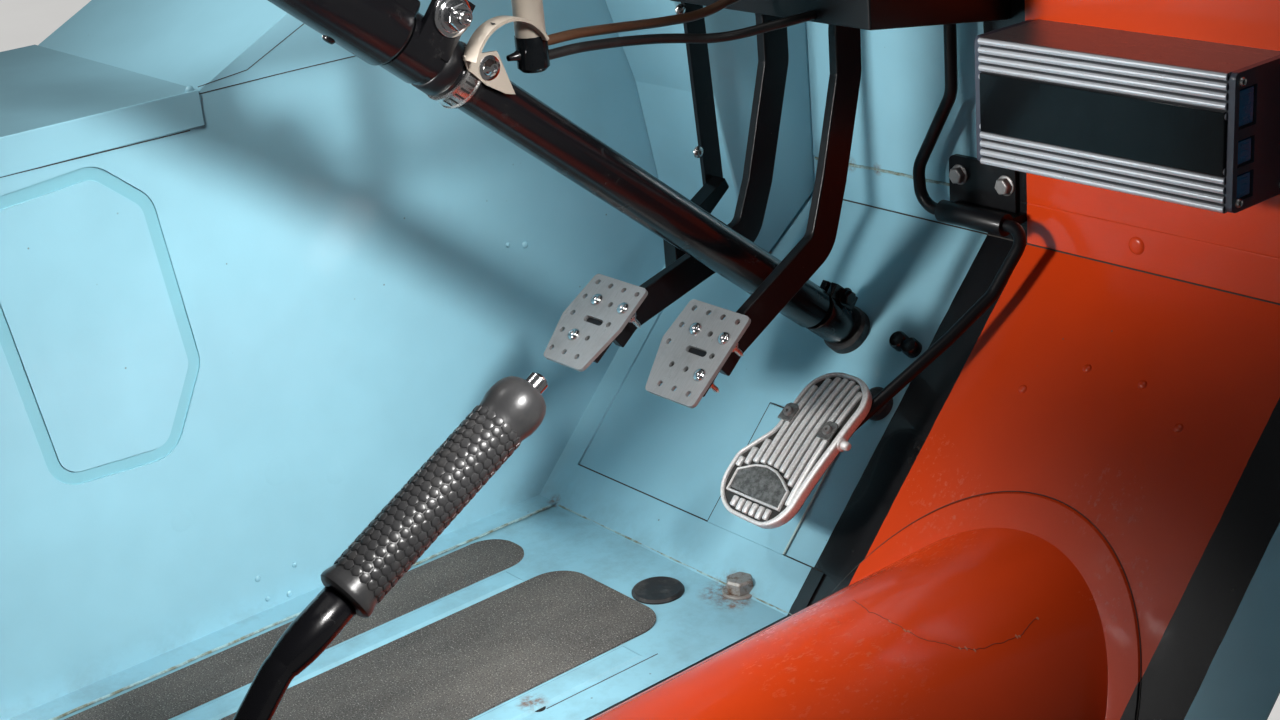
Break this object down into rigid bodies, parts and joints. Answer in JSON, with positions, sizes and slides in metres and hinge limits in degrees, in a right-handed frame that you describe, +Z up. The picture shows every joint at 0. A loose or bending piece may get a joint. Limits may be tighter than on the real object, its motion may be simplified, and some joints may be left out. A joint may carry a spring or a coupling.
{
  "type": "driver's footwell with pedals",
  "caption": "Sheet-metal footwell corner of a small open car with hanging pedals, ribbed throttle tread, steering column, tunnel and handbrake.",
  "frame": {"origin": "under the middle of the whole piece, on the plane that the floor sheet stands on", "axes": "+X to the passenger's side, +Y forward, +Z up"},
  "size_m": [0.912, 0.8376, 0.5335],
  "materials": {
    "blue_paint": "pale blue gloss paint over sheet steel",
    "orange_paint": "orange gloss paint over sheet steel",
    "grip_mat": "gritty dark grey mat",
    "black_rubber": "matt black rubber",
    "gloss_black": "gloss black paint",
    "satin_black": "satin black paint, worn bright on the edges",
    "bright_steel": "bright steel",
    "beige_paint": "beige paint",
    "black_plastic": "gloss black plastic",
    "brushed_pad": "brushed stainless sheet",
    "cast_tread": "cast aluminium, bright on the ribs",
    "amp_metal": "satin aluminium",
    "dark_plastic": "dark blue-grey plastic",
    "chrome_plate": "polished",
    "brown_wire": "brown sleeve",
    "black_wire": "black sleeve"
  },
  "bodies": {
    "shell": {"floor_sheet": "blue_paint", "floor_sheet_right": "blue_paint", "toe_board": "blue_paint", "crossmember": "blue_paint", "bulkhead": "blue_paint", "side_box": "blue_paint", "side_box_lid": "blue_paint", "wheel_arch": "blue_paint", "toe_patch": "blue_paint", "tunnel": "orange_paint", "mat_wide": "grip_mat", "mat_narrow": "grip_mat", "floor_plug": "black_rubber", "column_bush": "black_rubber", "column_tube": "gloss_black", "column_cowl": "gloss_black", "band_clamp": "bright_steel", "column_stay": "satin_black", "stalk": "beige_paint", "column_bracket": "beige_paint", "stalk_cap": "black_plastic", "pedal_box": "satin_black", "pedal_shaft": "bright_steel", "throttle_bracket": "satin_black", "throttle_stop": "black_rubber", "strap": "satin_black", "switch_box": "black_plastic", "amp_case": "amp_metal", "amp_end_left": "dark_plastic", "amp_end_right": "dark_plastic", "handbrake_bracket": "satin_black", "handbrake_pin": "bright_steel", "wire_brown": "brown_wire", "wire_black": "black_wire"},
    "steering": {"column_shaft": "bright_steel", "pinch_clamp": "gloss_black"},
    "clutch": {"clutch_lever": "satin_black", "clutch_pad": "brushed_pad"},
    "brake": {"brake_lever": "satin_black", "brake_pad": "brushed_pad"},
    "throttle": {"throttle_rod": "satin_black", "throttle_pad": "cast_tread"},
    "handbrake": {"handbrake_lever": "gloss_black", "handbrake_grip": "black_rubber", "handbrake_button": "chrome_plate"}
  },
  "joints": [
    {"name": "steering_turn", "type": "hinge", "parent": "shell", "child": "steering", "pos_m": [0.026, 0.28807, 0.15298], "axis": [0, -0.7716, 0.6361], "continuous": true},
    {"name": "clutch_press", "type": "hinge", "parent": "shell", "child": "clutch", "pos_m": [-0.021, 0.25926, 0.468], "axis": [1, 0, 0], "range_deg": [0, 20], "stiffness_Nm_per_rad": 4, "springref_deg": -17.19},
    {"name": "brake_press", "type": "hinge", "parent": "shell", "child": "brake", "pos_m": [0.075, 0.25926, 0.468], "axis": [1, 0, 0], "range_deg": [0, 15], "stiffness_Nm_per_rad": 4, "springref_deg": -17.19},
    {"name": "throttle_press", "type": "hinge", "parent": "shell", "child": "throttle", "pos_m": [0.108, 0.33726, 0.24498], "axis": [1, 0, 0], "range_deg": [0, 10], "stiffness_Nm_per_rad": 1, "springref_deg": -17.19},
    {"name": "handbrake_pull", "type": "hinge", "parent": "shell", "child": "handbrake", "pos_m": [0.256, -0.37376, 0.124], "axis": [1, 0, 0], "range_deg": [-18, 12]}
  ]
}
